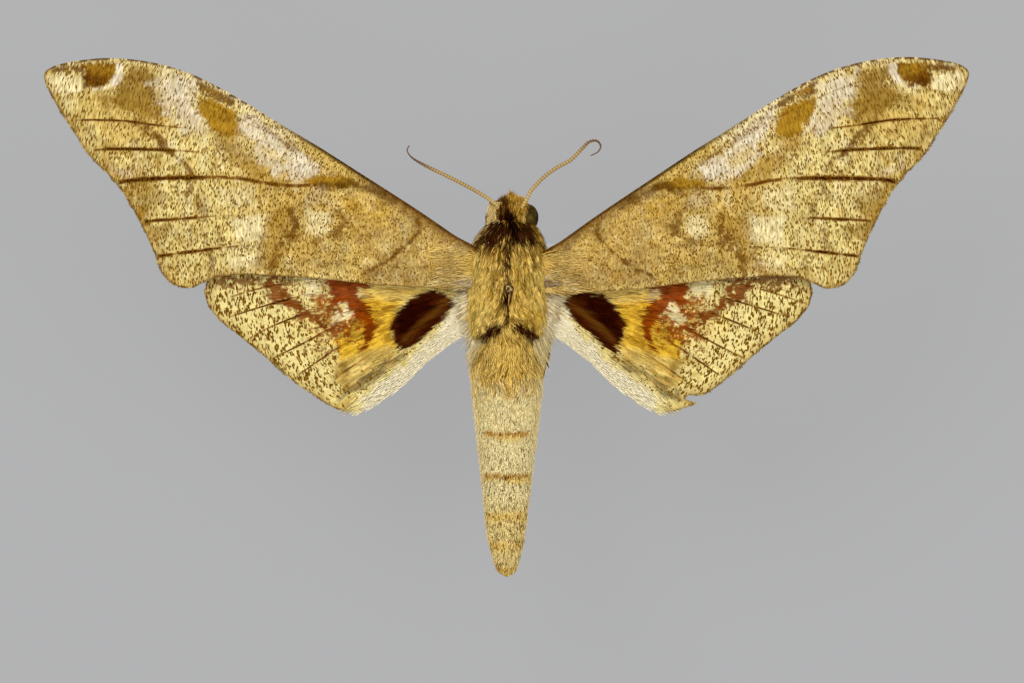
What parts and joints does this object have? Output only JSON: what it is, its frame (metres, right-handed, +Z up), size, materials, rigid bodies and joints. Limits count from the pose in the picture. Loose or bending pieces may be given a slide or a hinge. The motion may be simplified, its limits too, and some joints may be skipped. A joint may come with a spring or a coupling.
{
  "type": "spread hawkmoth specimen",
  "caption": "Spread hawkmoth with long pointed forewings, broad hindwings and a tapering body, on a pin in a small block.",
  "frame": {"origin": "centre of the pin's axis on the underside of the block, at floor height", "axes": "+X towards the moth's right wing tip, +Y towards its head, +Z up through its back"},
  "size_m": [0.1109, 0.0624, 0.041],
  "materials": {
    "abdomen_scales": "matt cream scales and short fur with brown speckling and bands",
    "head_fur": "matt golden brown fur",
    "thorax_fur": "matt golden fur in overlapping locks",
    "forewing_scales": "matt scaled membrane, cream and ochre with brown lines and flecks",
    "hindwing_scales": "matt scaled membrane, golden yellow with rust bands and a dark patch",
    "eye": "dark olive, faintly glossy, fine facets",
    "feeler": "dull brown, finely ringed",
    "leg_scales": "dull brown scales",
    "pin_steel": "plain drawn steel",
    "block": "plain matt pale paint"
  },
  "bodies": {
    "root": {"abdomen": "abdomen_scales", "antenna_left": "feeler", "antenna_right": "feeler", "eye_left": "eye", "eye_right": "eye", "forewing_left": "forewing_scales", "forewing_right": "forewing_scales", "head": "head_fur", "hindwing_left": "hindwing_scales", "hindwing_right": "hindwing_scales", "leg_fore_left": "leg_scales", "leg_fore_right": "leg_scales", "leg_hind_left": "leg_scales", "leg_hind_right": "leg_scales", "leg_mid_left": "leg_scales", "leg_mid_right": "leg_scales", "palp_left": "head_fur", "palp_right": "head_fur", "proboscis": "feeler", "stand_base": "block", "stand_pin": "pin_steel", "stand_pin_head": "pin_steel", "thorax": "thorax_fur"}
  },
  "joints": []
}
